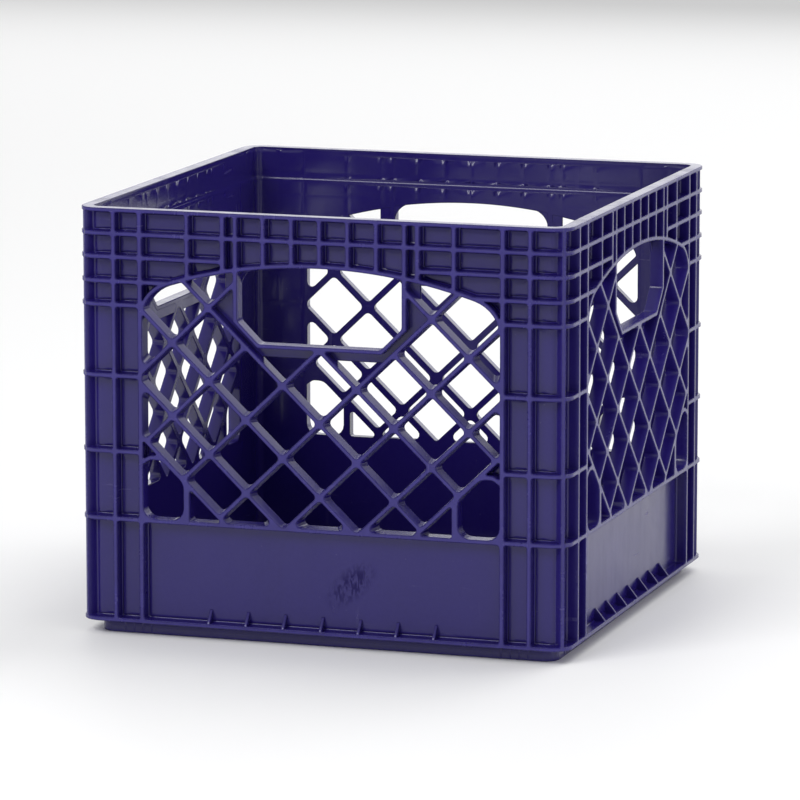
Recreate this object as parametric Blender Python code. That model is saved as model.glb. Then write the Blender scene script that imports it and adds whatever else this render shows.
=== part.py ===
"""Stacking milk bottle crate: one injection moulding, built as its moulding regions.

Metres, +Z up, crate standing on Z = 0 and centred on the Z axis.  The four sides are
identical: each region is drawn once in the plane of the front side (x along the side,
z up, depth inward from the outer face) and turned into place.
"""

import math

import bmesh
import bpy
from mathutils import Matrix, Vector
from mathutils.geometry import delaunay_2d_cdt

NAME = "milk_bottle_crate"

# ---- overall size -----------------------------------------------------------------
HALF = 0.1651                # half of the 13 in outside width
FOOT_H = 0.0089              # nesting foot below the flange
TOP = 0.2794                 # top of the rim
CORNER_R = 0.0140            # outside corner radius in plan
CORNER_STEPS = 6             # facets round a corner
GAP = 0.0003                 # clearance between neighbouring regions

# ---- wall section -------------------------------------------------------------------
WALL = 0.0090                # rib tip to inside face
RECESS = 0.0074              # rib tip to the face of the skin
STEP = 0.0008                # wall is wider inside above the nesting step
RIB = 0.0027                 # rib thickness
RIM = 0.0025                 # rim and flange thickness

# ---- heights --------------------------------------------------------------------------
Z_LEDGE = FOOT_H + 0.0680    # ledge on top of the lower panel
Z_RINGS = [FOOT_H + z for z in (0.1123, 0.1617, 0.2079, 0.2232, 0.2389, 0.2540)]
Z_STEP = Z_RINGS[-1]
GUSSET_H = 0.0083
GUSSET_T = 0.0020
GUSSET_X = [0.0254 * i for i in range(-3, 4)]

# ---- upright ribs (distance from the middle of the side) -----------------------------------
X_OPEN = 0.1216              # on the edge of the opening
X_COLUMN = 0.1396            # inside the corner column
X_RAIL = [0.0, 0.0188, 0.0379, 0.0566, 0.0653]
X_BAND = 0.0894
X_SPLIT = 0.0671             # hand rail ends, shoulder begins

# ---- arch over the opening ---------------------------------------------------------------
ARCH_APEX = FOOT_H + 0.2389
ARCH_R = 0.3450
ARCH_END = 0.1030            # end of the circular part
ARCH_STEPS = 7
ARCH_CORNER = [(0.1109, FOOT_H + 0.2178), (0.1162, FOOT_H + 0.2120),
               (0.1201, FOOT_H + 0.2048), (0.1216, FOOT_H + 0.1958)]

# ---- diagonal lattice: a falling strip follows x / PITCH_X + height / PITCH_Z = s -----------
PITCH_X = 0.0249
PITCH_Z = 0.0238
STRIP = 0.0037
CORNER_S = 0.33              # strip that cuts off the bottom corner
OPEN_S = [1.78, 3.78]        # strips from the column to the ledge
V_S = 5.78                   # strip from the arch to the ledge, passes the hand hole
SILL_S = 7.78                # strip from the middle of the sill
HAND_S = [9.78, 11.78]       # strips from the hand hole frame to the column

# ---- hand hole -------------------------------------------------------------------------
HAND_X = 0.0566              # middle of the upright sides
HAND_Z = FOOT_H + 0.2012     # uprights turn into diagonals
SILL_X = 0.0412              # diagonals turn into the sill
SILL_Z = FOOT_H + 0.1860
WEB_X = 0.0657               # web round the hand hole
WEB_Z = FOOT_H + 0.1782
PANEL_CUT = 0.0412           # middle lattice panel ends here

# ---- pocket in the bottom corners of the lattice ------------------------------------------
POCKET = [(0.1187, FOOT_H + 0.0734), (0.1153, FOOT_H + 0.0693), (0.0966, FOOT_H + 0.0693),
          (0.0940, FOOT_H + 0.0710), (0.0924, FOOT_H + 0.0749), (0.0924, FOOT_H + 0.0906),
          (0.0937, FOOT_H + 0.0935), (0.1025, FOOT_H + 0.1023), (0.1074, FOOT_H + 0.1062),
          (0.1128, FOOT_H + 0.1075), (0.1172, FOOT_H + 0.1060), (0.1187, FOOT_H + 0.1023)]
POCKET_TOP = FOOT_H + 0.1099
POCKET_BAR = 0.0884          # inner side of the bar beside the pocket

# ---- base -----------------------------------------------------------------------------
FOOT_HALF = 0.1550
FOOT_R = 0.0100
FOOT_T = 0.0030
FLOOR_HALF = 0.1557
FLOOR_T = 0.0028
FLOOR_FRAME = 0.0234         # closed margin round the grid
FLOOR_RIB = 0.0026
FLOOR_RIB_H = 0.0055         # ribs reach down inside the foot
FLOOR_CELLS = 9


# ---- drawing in the plane of a side -------------------------------------------------------
def rect(x0, z0, x1, z1):
    return [(x0, z0), (x1, z0), (x1, z1), (x0, z1)]


def mirror(poly):
    return [(-x, z) for x, z in reversed(poly)]


def area(poly):
    return sum(a[0] * b[1] - b[0] * a[1] for a, b in zip(poly, poly[1:] + poly[:1])) / 2


def bar(a, b, width, extend=0.0):
    """Rectangle of the given width along the line a-b."""
    d = (Vector(b) - Vector(a)).normalized()
    n = Vector((-d.y, d.x)) * width / 2
    a, b = Vector(a) - d * extend, Vector(b) + d * extend
    return [tuple(p) for p in (a - n, b - n, b + n, a + n)]


def strip_z(x, s):
    """Height of a falling strip at x."""
    return FOOT_H + (s - x / PITCH_X) * PITCH_Z


def strip_x(z, s):
    """Place of a falling strip at height z."""
    return (s - (z - FOOT_H) / PITCH_Z) * PITCH_X


def arch_line(offset):
    """Arch from the left to the right edge of the opening, moved up by offset."""
    half = [(ARCH_END * i / ARCH_STEPS,
             ARCH_APEX - ARCH_R + math.sqrt(ARCH_R ** 2 - (ARCH_END * i / ARCH_STEPS) ** 2))
            for i in range(ARCH_STEPS + 1)] + ARCH_CORNER
    full = [(-x, z) for x, z in reversed(half[1:])] + half
    out = []
    for i, (x, z) in enumerate(full):
        d = (Vector(full[min(i + 1, len(full) - 1)]) - Vector(full[max(i - 1, 0)])).normalized()
        out.append((x - d.y * offset, z + d.x * offset))
    return out


def arch_between(x0, x1, offset):
    """The offset arch from x0 to x1, with exact end points."""
    line = arch_line(offset)

    def at(x):
        for (xa, za), (xb, zb) in zip(line, line[1:]):
            if xa <= x <= xb and xb > xa:
                return za + (zb - za) * (x - xa) / (xb - xa)
        return line[0][1]

    return [(x0, at(x0))] + [p for p in line if x0 + 1e-4 < p[0] < x1 - 1e-4] + [(x1, at(x1))]


def arch_rib():
    return arch_line(-RIM / 2) + arch_line(RIM / 2)[::-1]


# ---- plates with ribs --------------------------------------------------------------------
def on_side(x, z, depth):
    return Vector((x, depth - HALF, z))


def on_corner(u, z, depth):
    """Round a corner: u runs along the outer face from the middle of the corner."""
    arc = CORNER_R * math.pi / 4
    c = HALF - CORNER_R
    if u < -arc:
        return Vector((c + u + arc, depth - HALF, z))
    if u > arc:
        return Vector((HALF - depth, -c + u - arc, z))
    a = u / CORNER_R - math.pi / 4
    return Vector((c + (CORNER_R - depth) * math.cos(a), -c + (CORNER_R - depth) * math.sin(a), z))


def side_depths(x, z):
    """Depth of rib tip, skin and inside face."""
    wider = STEP if z > Z_STEP else 0.0
    return 0.0, RECESS - wider, WALL - wider


def plate(outline, ribs, skins, holes=(), guides=(), place=on_side, depths=side_depths):
    """Closed mesh: ribs fill the wall from the outer to the inside face, skins only the
    inner part of it.  Holes cut both; guides are edges that carry a bend or a step."""
    coords, faces, edges = [], [], []
    for poly in [outline, *ribs, *skins, *holes]:
        points = [Vector(p) for p in (poly if area(poly) > 0 else reversed(poly))]
        faces.append(list(range(len(coords), len(coords) + len(points))))
        coords += points
    for a, b in guides:
        edges.append((len(coords), len(coords) + 1))
        coords += [Vector(a), Vector(b)]
    verts, _, tris, _, _, source = delaunay_2d_cdt(coords, edges, faces, 1, 1e-6)

    first_skin = 1 + len(ribs)
    first_hole = first_skin + len(skins)
    solid = []
    for origin in source:
        body = 0 in origin and not any(o >= first_hole for o in origin)
        rib = body and any(1 <= o < first_skin for o in origin)
        solid.append((rib, rib or body and any(first_skin <= o < first_hole for o in origin)))

    neighbour = {}
    for t, tri in enumerate(tris):
        for a, b in zip(tri, tri[1:] + tri[:1]):
            neighbour[a, b] = t

    def filled(t, layer):
        return t is not None and 0 <= layer < 2 and solid[t][layer]

    bm = bmesh.new()
    made = {}

    def vert(i, level):
        if (i, level) not in made:
            x, z = verts[i]
            made[i, level] = bm.verts.new(place(x, z, depths(x, z)[level]))
        return made[i, level]

    for t, tri in enumerate(tris):
        for layer in (0, 1):
            if not solid[t][layer]:
                continue
            if not filled(t, layer - 1):
                bm.faces.new([vert(i, layer) for i in tri])
            if not filled(t, layer + 1):
                bm.faces.new([vert(i, layer + 1) for i in reversed(tri)])
            for a, b in zip(tri, tri[1:] + tri[:1]):
                if not filled(neighbour.get((b, a)), layer):
                    bm.faces.new([vert(b, layer), vert(a, layer),
                                  vert(a, layer + 1), vert(b, layer + 1)])
    bmesh.ops.recalc_face_normals(bm, faces=bm.faces)
    if bm.calc_volume(signed=True) < 0:
        bmesh.ops.reverse_faces(bm, faces=bm.faces)
    bmesh.ops.dissolve_limit(bm, angle_limit=math.radians(0.2), verts=bm.verts, edges=bm.edges)
    bmesh.ops.triangulate(bm, faces=[f for f in bm.faces if len(f.verts) > 4])
    return bm


# ---- regions of one side -----------------------------------------------------------------
def step_guides(x0, x1):
    return [((x0, z), (x1, z)) for z in (Z_STEP - RIB / 2, Z_STEP + RIB / 2)]


def ring(x0, x1, z, width=RIB):
    return rect(x0, z - width / 2, x1, z + width / 2)


def hand_rail():
    """Middle of the top band, from the arch to the rim."""
    x1 = X_SPLIT - GAP / 2
    low = arch_between(-x1, x1, -RIM / 2)
    outline = low + [(x1, TOP), (-x1, TOP)]
    ribs = [arch_rib(), ring(-x1, x1, TOP - RIM / 2, RIM), ring(-x1, x1, Z_STEP)]
    ribs += [rect(x - RIB / 2, 0.2, x + RIB / 2, TOP)
             for x in sorted({s * x for x in X_RAIL for s in (-1, 1)})]
    return plate(outline, ribs, [outline], guides=step_guides(-x1, x1))


def shoulder(side):
    """Top band between hand rail and corner column, with the corner of the arch."""
    x0, x1 = X_SPLIT + GAP / 2, X_OPEN - RIB / 2 - GAP
    outline = arch_between(x0, x1, -RIM / 2) + [(x1, TOP), (x0, TOP)]
    ribs = [arch_rib(), ring(x0, x1, TOP - RIM / 2, RIM),
            rect(X_BAND - RIB / 2, 0.2, X_BAND + RIB / 2, TOP)]
    ribs += [ring(x0, x1, z) for z in Z_RINGS[3:]]
    guides = step_guides(x0, x1)
    if side < 0:
        outline, ribs = mirror(outline), [mirror(r) for r in ribs]
        guides = [((-a[0], a[1]), (-b[0], b[1])) for a, b in guides]
    return plate(outline, ribs, [outline], guides=guides)


def lattice_ribs():
    """Diagonal strips, the frame of the hand hole and the ledge."""
    low = Z_LEDGE
    strips = [(-X_OPEN, strip_x(low, CORNER_S), CORNER_S),
              (-0.0960, strip_x(low, V_S), V_S),
              (0.0, 0.0946, SILL_S),
              (SILL_X + 0.0070, X_OPEN, HAND_S[0]),
              (HAND_X, X_OPEN, HAND_S[1])]
    strips += [(-X_OPEN, strip_x(low, s), s) for s in OPEN_S]
    out = [rect(-X_OPEN, low - RIB / 2, X_OPEN, low + RIB / 2),
           bar((-SILL_X, SILL_Z), (SILL_X, SILL_Z), RIM, RIM / 4)]
    for xa, xb, s in strips:
        line = bar((xa, strip_z(xa, s)), (xb, strip_z(xb, s)), STRIP)
        out += [line, mirror(line)]
    for s in (-1, 1):
        out.append(bar((s * SILL_X, SILL_Z), (s * HAND_X, HAND_Z), RIM, RIM / 4))
        out.append(bar((s * HAND_X, HAND_Z), (s * HAND_X, ARCH_APEX), RIM, RIM / 4))
        frame = [(s * x, z) for x, z in
                 [(0.1240, low), (POCKET_BAR, low), (POCKET_BAR, FOOT_H + 0.0960),
                  (0.1075, FOOT_H + 0.1110), (0.1100, POCKET_TOP), (0.1240, POCKET_TOP)]]
        out.append(frame)
    return out


def lattice_skins():
    """Web round the hand hole and the fillet above each corner pocket."""
    out = []
    cross_x = (HAND_S[1] - V_S) / 2 * PITCH_X
    cross_z = FOOT_H + (HAND_S[1] + V_S) / 2 * PITCH_Z
    for s in (-1, 1):
        web_low = strip_x(WEB_Z, V_S)
        out.append([(0.0, WEB_Z), (s * -web_low, WEB_Z), (s * cross_x, cross_z),
                    (s * WEB_X, strip_z(WEB_X, HAND_S[1])), (s * WEB_X, ARCH_APEX + 0.002),
                    (0.0, ARCH_APEX + 0.002)])
        out.append([(s * x, z) for x, z in
                    [(0.1240, POCKET_TOP - 0.001), (0.1085, POCKET_TOP - 0.001),
                     (0.1240, strip_z(-0.1240, CORNER_S))]])
    return out


def lattice_panel(outline, side=0):
    """One piece of the lattice, cut out of the full pattern by its outline."""
    ribs, skins = lattice_ribs(), lattice_skins()
    holes = [POCKET, mirror(POCKET), lattice_eye()]
    if side > 0:
        outline = mirror(outline)
    x0, x1 = min(p[0] for p in outline), max(p[0] for p in outline)

    def near(polys):
        return [p for p in polys if max(q[0] for q in p) > x0 and min(q[0] for q in p) < x1]

    return plate(outline, near(ribs), near(skins), near(holes))


def lattice_eye():
    """The open diamond between the V strips and the strips that meet under the sill."""
    half = STRIP / 2 * math.hypot(1 / PITCH_X, 1 / PITCH_Z)
    a, b = V_S + half, SILL_S - half
    mid = (a + b) / 2
    return [(0.0, strip_z(0.0, a)), ((b - a) / 2 * PITCH_X, strip_z(0.0, mid)),
            (0.0, strip_z(0.0, b)), (-(b - a) / 2 * PITCH_X, strip_z(0.0, mid))]


def side_outline():
    """Left lattice panel: column, ledge, cut below the hand hole, jamb and arch."""
    x0, x1 = -(X_OPEN - RIB / 2 - GAP), -(PANEL_CUT + GAP / 2)
    x_jamb = -(HAND_X - RIM / 2)
    slope = (HAND_Z - SILL_Z) / (SILL_X - HAND_X)
    lift = RIM / 2 * math.hypot(1.0, slope)
    z_cut = SILL_Z + slope * (x1 + SILL_X) + lift
    z_jamb = SILL_Z + slope * (x_jamb + SILL_X) + lift
    arch = arch_between(x0, x_jamb, -RIM / 2 - GAP)
    return ([(x0, Z_LEDGE - RIB / 2), (x1, Z_LEDGE - RIB / 2), (x1, z_cut), (x_jamb, z_jamb)]
            + arch[::-1])


def middle_outline():
    x1 = PANEL_CUT - GAP / 2
    return rect(-x1, Z_LEDGE - RIB / 2, x1, SILL_Z + RIM / 2)


def lower_panel():
    """Closed panel under the lattice with the flange and its gussets."""
    x1 = X_OPEN - RIB / 2 - GAP
    top = Z_LEDGE - RIB / 2 - GAP
    gusset_top = FOOT_H + RIM + GUSSET_H
    outline = rect(-x1, FOOT_H, x1, top)
    ribs = [rect(-x1, FOOT_H, x1, FOOT_H + RIM)]
    ribs += [rect(x - GUSSET_T / 2, FOOT_H, x + GUSSET_T / 2, gusset_top) for x in GUSSET_X]

    def depths(x, z):
        rib, skin, inside = side_depths(x, z)
        if abs(z - gusset_top) < 1e-5:
            rib = RECESS - 0.0005          # gussets run out into the skin
        return rib, skin, inside

    return plate(outline, ribs, [outline], depths=depths)


def corner_column():
    """Ribbed corner column from the flange to the rim."""
    shift = HALF - CORNER_R + CORNER_R * math.pi / 4
    end = X_OPEN - RIB / 2 - shift
    outline = rect(end, FOOT_H, -end, TOP)
    arc = CORNER_R * math.pi / 4
    ribs = [rect(u - RIB / 2, FOOT_H, u + RIB / 2, TOP)
            for u in (X_OPEN - shift, X_COLUMN - shift, 0.0, shift - X_COLUMN, shift - X_OPEN)]
    ribs += [ring(end, -end, z) for z in [Z_LEDGE, *Z_RINGS]]
    ribs += [rect(end, FOOT_H, -end, FOOT_H + RIM), rect(end, TOP - RIM, -end, TOP)]
    bends = [-arc + 2 * arc * k / CORNER_STEPS for k in range(CORNER_STEPS + 1)]
    guides = [((u, FOOT_H), (u, TOP)) for u in bends] + step_guides(end, -end)
    return plate(outline, ribs, [outline], guides=guides, place=on_corner)


# ---- base --------------------------------------------------------------------------------
def rounded_square(half, radius, steps=4):
    out = []
    for k in range(4):
        a0 = k * math.pi / 2
        cx, cy = (half - radius) * (1, -1, -1, 1)[k], (half - radius) * (1, 1, -1, -1)[k]
        out += [(cx + radius * math.cos(a0 + math.pi / 2 * i / steps),
                 cy + radius * math.sin(a0 + math.pi / 2 * i / steps)) for i in range(steps + 1)]
    return out


def foot_ring():
    """Upright ring that nests in the rim of the crate below."""
    outer = rounded_square(FOOT_HALF, FOOT_R)
    inner = rounded_square(FOOT_HALF - FOOT_T, FOOT_R - FOOT_T)
    bm = bmesh.new()
    levels = [[bm.verts.new((x, y, z)) for x, y in loop]
              for loop in (outer, inner) for z in (0.0, FOOT_H - GAP)]
    for low, high in ((0, 1), (3, 2), (1, 3), (2, 0)):
        a, b = levels[low], levels[high]
        for i in range(len(a)):
            j = (i + 1) % len(a)
            bm.faces.new([a[i], a[j], b[j], b[i]])
    return bm


def floor_grid():
    """Floor plate: closed margin and a grid of ribs that reach down inside the foot."""
    outline = rounded_square(FLOOR_HALF, 0.0046, 3)
    inner = FLOOR_HALF - FLOOR_FRAME
    pitch = (2 * inner - FLOOR_RIB) / FLOOR_CELLS
    cells = []
    for i in range(FLOOR_CELLS):
        for j in range(FLOOR_CELLS):
            x = -inner + FLOOR_RIB / 2 + i * pitch + pitch / 2
            y = -inner + FLOOR_RIB / 2 + j * pitch + pitch / 2
            h = (pitch - FLOOR_RIB) / 2
            cells.append(rect(x - h, y - h, x + h, y + h))

    def place(x, y, depth):
        return Vector((x, y, FOOT_H - FLOOR_RIB_H + depth))

    def depths(x, y):
        return 0.0, FLOOR_RIB_H, FLOOR_RIB_H + FLOOR_T

    return plate(outline, [rect(-inner, -inner, inner, inner)], [outline], cells,
                 place=place, depths=depths)


# ---- scene ---------------------------------------------------------------------------------
def clear_scene():
    for obj in list(bpy.data.objects):
        bpy.data.objects.remove(obj, do_unlink=True)
    for coll in list(bpy.data.collections):
        bpy.data.collections.remove(coll)


def plastic(name):
    """Every region has its own material, the same glossy blue-violet polyethylene."""
    mat = bpy.data.materials.new(name)
    mat.use_nodes = True
    bsdf = mat.node_tree.nodes["Principled BSDF"]
    bsdf.inputs["Base Color"].default_value = (0.050, 0.040, 0.165, 1.0)
    bsdf.inputs["Roughness"].default_value = 0.38
    bsdf.inputs["IOR"].default_value = 1.5
    return mat


def add(name, bm, coll, parent, turn=0):
    """Turn a finished mesh to its side and file it as one named object."""
    bmesh.ops.transform(bm, matrix=Matrix.Rotation(turn * math.pi / 2, 4, 'Z'), verts=bm.verts)
    mesh = bpy.data.meshes.new(name)
    bm.to_mesh(mesh)
    bm.free()
    obj = bpy.data.objects.new(name, mesh)
    mesh.materials.append(plastic(name + "_plastic"))
    obj.parent = parent
    coll.objects.link(obj)


def build():
    clear_scene()
    coll = bpy.data.collections.new(NAME)
    bpy.context.scene.collection.children.link(coll)
    root = bpy.data.objects.new("root", None)
    coll.objects.link(root)
    for turn, side in enumerate(("front", "right", "back", "left")):
        add(side + "_hand_rail", hand_rail(), coll, root, turn)
        for s, hand in ((-1, "a"), (1, "b")):
            add(f"{side}_shoulder_{hand}", shoulder(s), coll, root, turn)
            add(f"{side}_lattice_{hand}", lattice_panel(side_outline(), s), coll, root, turn)
        add(side + "_lattice_mid", lattice_panel(middle_outline()), coll, root, turn)
        add(side + "_lower_panel", lower_panel(), coll, root, turn)
        add(f"corner_column_{turn + 1}", corner_column(), coll, root, turn)
    add("floor_grid", floor_grid(), coll, root)
    add("foot_ring", foot_ring(), coll, root)


build()
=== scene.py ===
"""Looks of the milk bottle crate: detailed moulded meshes, plastic, light and camera."""

import math

import bpy
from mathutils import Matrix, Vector, noise
from mathutils.geometry import delaunay_2d_cdt


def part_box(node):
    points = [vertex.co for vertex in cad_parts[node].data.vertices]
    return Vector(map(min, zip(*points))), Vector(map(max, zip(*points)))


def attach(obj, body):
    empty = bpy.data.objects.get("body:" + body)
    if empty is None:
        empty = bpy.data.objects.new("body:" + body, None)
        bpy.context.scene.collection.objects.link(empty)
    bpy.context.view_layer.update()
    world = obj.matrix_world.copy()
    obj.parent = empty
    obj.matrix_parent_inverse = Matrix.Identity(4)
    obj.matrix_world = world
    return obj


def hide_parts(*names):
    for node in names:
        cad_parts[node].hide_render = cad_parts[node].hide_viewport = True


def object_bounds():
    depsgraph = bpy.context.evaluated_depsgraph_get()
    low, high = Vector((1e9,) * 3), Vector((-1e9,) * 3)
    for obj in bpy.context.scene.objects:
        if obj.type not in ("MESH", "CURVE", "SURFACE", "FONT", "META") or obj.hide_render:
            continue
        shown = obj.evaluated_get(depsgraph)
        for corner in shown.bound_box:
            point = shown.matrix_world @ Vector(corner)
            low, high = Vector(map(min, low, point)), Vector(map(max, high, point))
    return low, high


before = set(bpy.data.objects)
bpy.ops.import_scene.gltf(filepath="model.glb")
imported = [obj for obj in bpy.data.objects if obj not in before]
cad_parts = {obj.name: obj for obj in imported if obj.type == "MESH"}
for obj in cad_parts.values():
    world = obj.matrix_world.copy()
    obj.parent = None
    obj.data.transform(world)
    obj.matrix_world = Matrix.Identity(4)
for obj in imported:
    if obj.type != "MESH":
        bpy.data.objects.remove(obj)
cad_low, cad_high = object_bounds()

# ---- sizes in millimetres; z is counted from the underside of the flange ---------------------
MM = 0.001
HALF = cad_high.x / MM           # half of the outside width
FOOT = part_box("front_lower_panel")[0].z / MM
HEIGHT = cad_high.z / MM - FOOT
CORNER_R = 14.0
WALL = 9.0                       # rib tip to inside face
RECESS = 7.4                     # rib tip to the face of the skin
RIM = 2.5                        # thickness of the rim, the flange and the arch rib
RIB = 1.35                       # half thickness of ribs
RIB_WIDE = 1.5                   # the same beside the opening and the hand hole
STRIP = 1.35                     # half thickness of lattice strips at their tip

STEP = 0.8                       # the inside is wider by this above the nesting step
STEP_LOW, STEP_HIGH = 248.5, 249.6
STEP_FADE = 0.8                  # the step is drawn out by this behind the ribs
LIP = 0.45                       # wider once more between the ribs, just under the rim
LIP_LOW, LIP_HIGH = 267.9, 268.6
CUTS_Z = [STEP_LOW, (STEP_LOW + STEP_HIGH) / 2, STEP_HIGH, LIP_LOW, LIP_HIGH]
PILLOW = 0.18                    # bulge of the inside between the ribs
CREASE = 1.7                     # half width of the crease behind a rib

RINGS = [68.0, 112.3, 161.7, 207.9, 223.2, 238.9, 254.0]     # heights of the level ribs
LEDGE = RINGS[0]                 # top of the lower panel
X_OPEN, X_COLUMN, X_BAND = 121.6, 139.6, 89.4    # beside the opening, in columns and band
X_RAIL = [0.0, 18.8, 37.9, 56.6, 65.3]           # in the hand rail

ARCH_APEX, ARCH_R, ARCH_FILLET = 238.9, 345.0, 25.5
PX, PZ = 24.9, 23.8              # lattice: a falling strip follows x / PX + z / PZ = s
STRIP_S = [0.33, 1.78, 3.78, 5.78, 7.78, 9.78, 11.78, 15.78]
V_S = 5.78                       # strip that passes the hand hole
HAND_X, HAND_Z = 56.6, 201.2     # frame of the hand hole: uprights turn into diagonals
SILL_X, SILL_Z = 41.2, 186.0     # diagonals turn into the sill
WEB_X, WEB_Z = 65.7, 178.2       # ends of the sheet round the hand hole

POCKET_X, POCKET_BAR = 92.4, 88.4    # both sides of the bar beside the corner pocket
POCKET_RADII = (8.0, 1.2, 5.0, 9.0, 9.0, 8.0)        # from its lower outer corner upward
POCKET_TOP_X, POCKET_TOP_Z = 115.7, 108.1
POCKET_SIDE_Z = 104.8            # top of the pocket at the upright rib
POCKET_CAP_Z = 111.1             # lower side of the small recess over the pocket

EDGE = 0.45                      # rounding of the rib tips
EDGE_BACK = 0.5                  # rounding of the holes on the inside
FLOOR_FILLET = 1.1               # rounding at the bottom of closed pockets
DRAFT = 0.035                    # taper of ribs, mm per mm of depth
DRAFT_HOLE = 0.040               # the same of holes that go right through
DRAFT_LATTICE = 0.095            # the same of the lattice strips
ROUND = (0, 35, 65, 90)          # degrees of the steps of a rounding
SLIVER = 14                      # square mm: smaller holes and pockets are filled
SMALL_FLOOR, LARGE_FLOOR = 120, 5000     # square mm, for the mesh of closed pockets
TIP_REACH = 5.0                  # depth at which the scuffing and the painted light of the tips have faded out

GUSSET_PITCH, GUSSET_HALF = 25.4, 1.0    # spacing and half thickness
GUSSET_H, GUSSET_EDGE = 8.8, 0.3         # height over the flange and bevel

FOOT_OUT = 155.0                 # half of the outside width of the foot
FOOT_RIDGES = (118.5, 124.5, 130.5, 136.5)   # places along a side, both ways
FLOOR_IN, FLOOR_OUT = 132.3, 156.3   # grid of the floor and outside of its plate
FLOOR_CELLS, FLOOR_RIB = 9, 2.6
FLOOR_DEEP, FLOOR_PLATE = 5.5, 2.8   # ribs under the flange, plate over it


# ---- plane geometry --------------------------------------------------------------------------
def area(poly):
    return sum(a[0] * b[1] - b[0] * a[1] for a, b in zip(poly, poly[1:] + poly[:1])) / 2


def rect(x0, z0, x1, z1):
    return [(x0, z0), (x1, z0), (x1, z1), (x0, z1)]


def clip(poly, nx, nz, limit):
    """Part of the polygon with nx * x + nz * z <= limit."""
    out = []
    for i, a in enumerate(poly):
        b = poly[(i + 1) % len(poly)]
        da = nx * a[0] + nz * a[1] - limit
        db = nx * b[0] + nz * b[1] - limit
        if da <= 0:
            out.append(a)
        if da * db < 0:
            t = da / (da - db)
            out.append((a[0] + (b[0] - a[0]) * t, a[1] + (b[1] - a[1]) * t))
    return out


def cleaned(poly, shortest=0.25):
    """Drop points that sit on top of their neighbour."""
    out = []
    for p in poly:
        if not out or math.dist(p, out[-1]) > shortest:
            out.append(p)
    while len(out) > 1 and math.dist(out[0], out[-1]) <= shortest:
        out.pop()
    return out


def smooth(a, b, x):
    t = min(max((x - a) / (b - a), 0.0), 1.0)
    return t * t * (3 - 2 * t)


# fillet circle between the arch and the upright rib at X_OPEN
FILLET_X = X_OPEN - ARCH_FILLET
FILLET_Z = ARCH_APEX - ARCH_R + math.sqrt((ARCH_R - ARCH_FILLET) ** 2 - FILLET_X ** 2)
FILLET_START = FILLET_X * ARCH_R / (ARCH_R - ARCH_FILLET)


def arch_z(x, offset):
    """Height of the arch, moved outward by offset."""
    x = abs(x)
    if x <= FILLET_START * (ARCH_R + offset) / ARCH_R:
        return ARCH_APEX - ARCH_R + math.sqrt((ARCH_R + offset) ** 2 - x * x)
    rest = (ARCH_FILLET + offset) ** 2 - (x - FILLET_X) ** 2
    return FILLET_Z + math.sqrt(max(rest, 0.0))


def arch_xs(x0, x1, step=4.0):
    n = max(1, round((x1 - x0) / step))
    return [x0 + (x1 - x0) * i / n for i in range(n + 1)]


def above_arch(x0, x1, z0, z1):
    """Rectangle cut off by the upper side of the arch rib (right half, or across it)."""
    top = RIM / 2
    xs = [x for x in arch_xs(x0, x1, 2.0 if x0 > 90 else 4.0) if arch_z(x, top) < z1]
    if not xs:
        return []
    if xs[0] > x0 + 1e-6:                       # the arch starts above the cell
        low, high = xs[0] - 4.0, xs[0]
        for _ in range(30):
            mid = (low + high) / 2
            low, high = (mid, high) if arch_z(mid, top) > z1 else (low, mid)
        xs = [high] + [x for x in xs if x > high + 0.8]
    bottom = [(x, max(z0, arch_z(x, top))) for x in xs]
    flat = [p for p in bottom if p[1] > z0]
    if len(flat) < len(bottom):                 # the arch leaves through the floor of the cell
        low, high = flat[-1][0] if flat else x0, x1
        for _ in range(30):
            mid = (low + high) / 2
            low, high = (mid, high) if arch_z(mid, top) > z0 else (low, mid)
        bottom = flat + [(high, z0), (x1, z0)]
    poly = bottom + [(x1, z1), (xs[0], z1)]
    return cleaned(poly)


class Cell:
    """A pocket or a through hole: base polygon, corner radius front and back, depth."""

    def __init__(self, points, radius=1.2, back_radius=None, depth=None, radii=None,
                 draft=DRAFT_HOLE):
        self.points = points if area(points) > 0 else points[::-1]
        self.depth = depth                      # None goes right through
        self.radius = radius
        self.back_radius = radius if back_radius is None else back_radius
        self.radii = radii or {}                # special corners: base point -> radius
        self.draft = draft                      # taper of a through hole

    def mirrored(self):
        radii = {(-x, z): r for (x, z), r in self.radii.items()}
        return Cell([(-x, z) for x, z in self.points], self.radius, self.back_radius,
                    self.depth, radii, self.draft)

    def loop(self, inset, deep):
        """Outline moved inward by inset; deep blends the front radius to the back one."""
        pts, out = self.points, []
        n = len(pts)
        for i, p in enumerate(pts):
            a, b = pts[i - 1], pts[(i + 1) % n]
            la, lb = math.dist(a, p), math.dist(p, b)
            u = ((p[0] - a[0]) / la, (p[1] - a[1]) / la)
            v = ((b[0] - p[0]) / lb, (b[1] - p[1]) / lb)
            turn = math.atan2(u[0] * v[1] - u[1] * v[0], u[0] * v[0] + u[1] * v[1])
            k = inset / (1 + math.cos(turn))
            q = (p[0] - (u[1] + v[1]) * k, p[1] + (u[0] + v[0]) * k)
            if abs(turn) < math.radians(14):
                out.append(q)
                continue
            half = math.tan(abs(turn) / 2)
            base = self.radius + (self.back_radius - self.radius) * deep
            base = min(self.radii.get(p, base), 0.46 * min(la, lb) / half)
            r = max(base - inset, 0.12) if turn > 0 else base + max(inset, 0.0)
            t = r * half
            start = (q[0] - u[0] * t, q[1] - u[1] * t)
            side = 1 if turn > 0 else -1
            cx, cz = start[0] - u[1] * r * side, start[1] + u[0] * r * side
            steps = 3 if abs(turn) < math.radians(50) else 4
            for j in range(steps + 1):
                w = turn * j / steps
                dx, dz = start[0] - cx, start[1] - cz
                out.append((cx + dx * math.cos(w) - dz * math.sin(w),
                            cz + dx * math.sin(w) + dz * math.cos(w)))
        return out


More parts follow.
